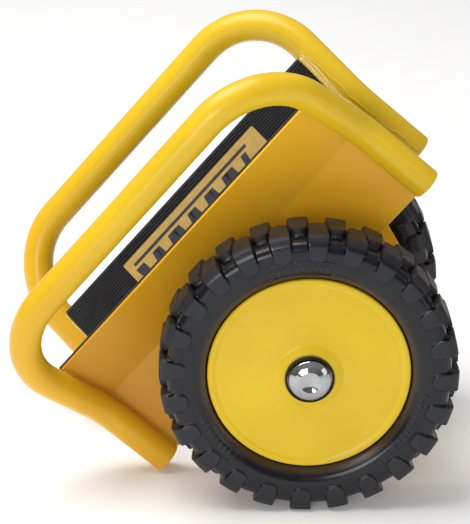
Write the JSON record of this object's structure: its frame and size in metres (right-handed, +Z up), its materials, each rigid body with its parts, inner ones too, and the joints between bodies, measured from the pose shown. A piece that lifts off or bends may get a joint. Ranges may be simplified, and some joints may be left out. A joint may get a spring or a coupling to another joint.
{
  "type": "self-clamping panel dolly",
  "caption": "Self-clamping panel dolly: hinged steel jaws with hoop handles and ribbed rubber pads, each carried on its own lugged wheel.",
  "frame": {"origin": "under the middle of the parked dolly's box, on the floor, between the two jaws", "axes": "+Z up; +Y across the dolly from the right jaw to the left jaw, along the wheel axle; +X horizontal along the panel, towards the raised end"},
  "size_m": [0.3854, 0.292, 0.386],
  "materials": {
    "yellow_coat": "gloss powder coat",
    "pad_rubber": "matt, ribbed",
    "tyre": "satin moulded rubber",
    "steel": "zinc plated",
    "chrome": "polished",
    "seal_plastic": "satin",
    "label": "printed vinyl, plain pattern"
  },
  "bodies": {
    "right_jaw": {"right_side_plate": "yellow_coat", "right_hoop": "yellow_coat", "right_hoop_end_plugs": "yellow_coat", "right_floor_plate": "yellow_coat", "right_axle_boss": "yellow_coat", "right_stop_bracket": "yellow_coat", "right_gripping_pad": "pad_rubber", "right_stub_axle": "steel", "right_bearing_inner_rings": "steel", "right_bearing_spacer": "steel", "right_axle_washers": "steel", "right_retaining_ring": "steel", "right_axle_cap": "chrome", "hinge_pin": "steel", "hinge_pin_clip": "steel", "torsion_springs": "steel"},
    "left_jaw": {"left_side_plate": "yellow_coat", "left_hoop": "yellow_coat", "left_hoop_end_plugs": "yellow_coat", "left_floor_plate": "yellow_coat", "left_axle_boss": "yellow_coat", "left_stop_bracket": "yellow_coat", "left_gripping_pad": "pad_rubber", "left_stub_axle": "steel", "left_bearing_inner_rings": "steel", "left_bearing_spacer": "steel", "left_axle_washers": "steel", "left_retaining_ring": "steel", "left_axle_cap": "chrome", "pad_label": "label"},
    "right_wheel": {"right_tyre": "tyre", "right_rim_outer": "yellow_coat", "right_rim_inner": "yellow_coat", "right_wheel_hub": "steel", "right_bearing_outer_rings": "steel", "right_bearing_balls": "steel", "right_dust_seal": "seal_plastic"},
    "left_wheel": {"left_tyre": "tyre", "left_rim_outer": "yellow_coat", "left_rim_inner": "yellow_coat", "left_wheel_hub": "steel", "left_bearing_outer_rings": "steel", "left_bearing_balls": "steel", "left_dust_seal": "seal_plastic"}
  },
  "joints": [
    {"name": "jaw_hinge", "type": "hinge", "parent": "right_jaw", "child": "left_jaw", "pos_m": [0.09942, 0, 0.10168], "axis": [0.6569, 0, 0.754], "range_deg": [0, 25], "stiffness_Nm_per_rad": 6, "springref_deg": -28.65, "deforming": ["torsion_springs"]},
    {"name": "right_wheel_spin", "type": "hinge", "parent": "right_jaw", "child": "right_wheel", "pos_m": [0.06434, 0, 0.1284], "axis": [0, 1, 0], "continuous": true},
    {"name": "left_wheel_spin", "type": "hinge", "parent": "left_jaw", "child": "left_wheel", "pos_m": [0.06434, 0, 0.1284], "axis": [0, 1, 0], "continuous": true}
  ]
}
